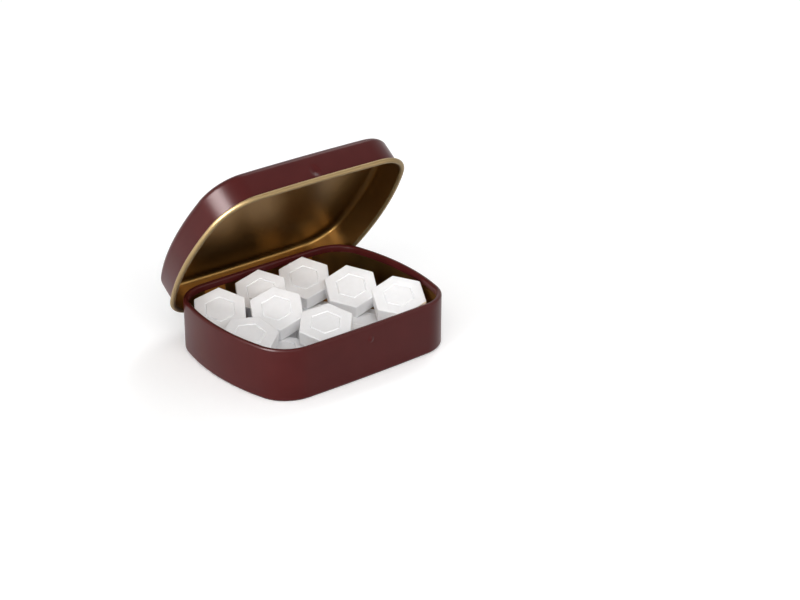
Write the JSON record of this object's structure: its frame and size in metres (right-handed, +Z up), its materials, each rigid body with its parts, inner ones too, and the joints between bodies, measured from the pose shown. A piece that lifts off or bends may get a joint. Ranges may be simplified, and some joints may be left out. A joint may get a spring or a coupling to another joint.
{
  "type": "mint tin",
  "caption": "Pocket mint tin of two drawn sheet shells with a hinged, rolled-edge lid, standing open over a heap of pressed tablets.",
  "frame": {"origin": "middle of the tray's flat underside", "axes": "+Z up, +Y towards the hinge, +X along the hinge to the right seen from the front"},
  "size_m": [0.064, 0.0544, 0.0505],
  "materials": {
    "shell_paint": "satin burgundy enamel on tinplate",
    "shell_lacquer": "clear gold lacquer on bright tinplate, inside faces and rolled edge",
    "mint_tablet": "white pressed tablet, smooth and matte"
  },
  "bodies": {
    "base": {"tray": "shell_paint", "mint_01": "mint_tablet", "mint_02": "mint_tablet", "mint_03": "mint_tablet", "mint_04": "mint_tablet", "mint_05": "mint_tablet", "mint_06": "mint_tablet", "mint_07": "mint_tablet", "mint_08": "mint_tablet", "mint_09": "mint_tablet", "mint_10": "mint_tablet", "mint_11": "mint_tablet", "mint_12": "mint_tablet", "mint_13": "mint_tablet", "mint_14": "mint_tablet", "mint_15": "mint_tablet", "mint_16": "mint_tablet", "mint_17": "mint_tablet", "mint_18": "mint_tablet"},
    "lid": {"lid": "shell_paint"}
  },
  "joints": [
    {"name": "lid_hinge", "type": "hinge", "parent": "base", "child": "lid", "pos_m": [0, 0.02464, 0.0066], "axis": [-1, 0, 0], "range_deg": [-54, 51]}
  ]
}
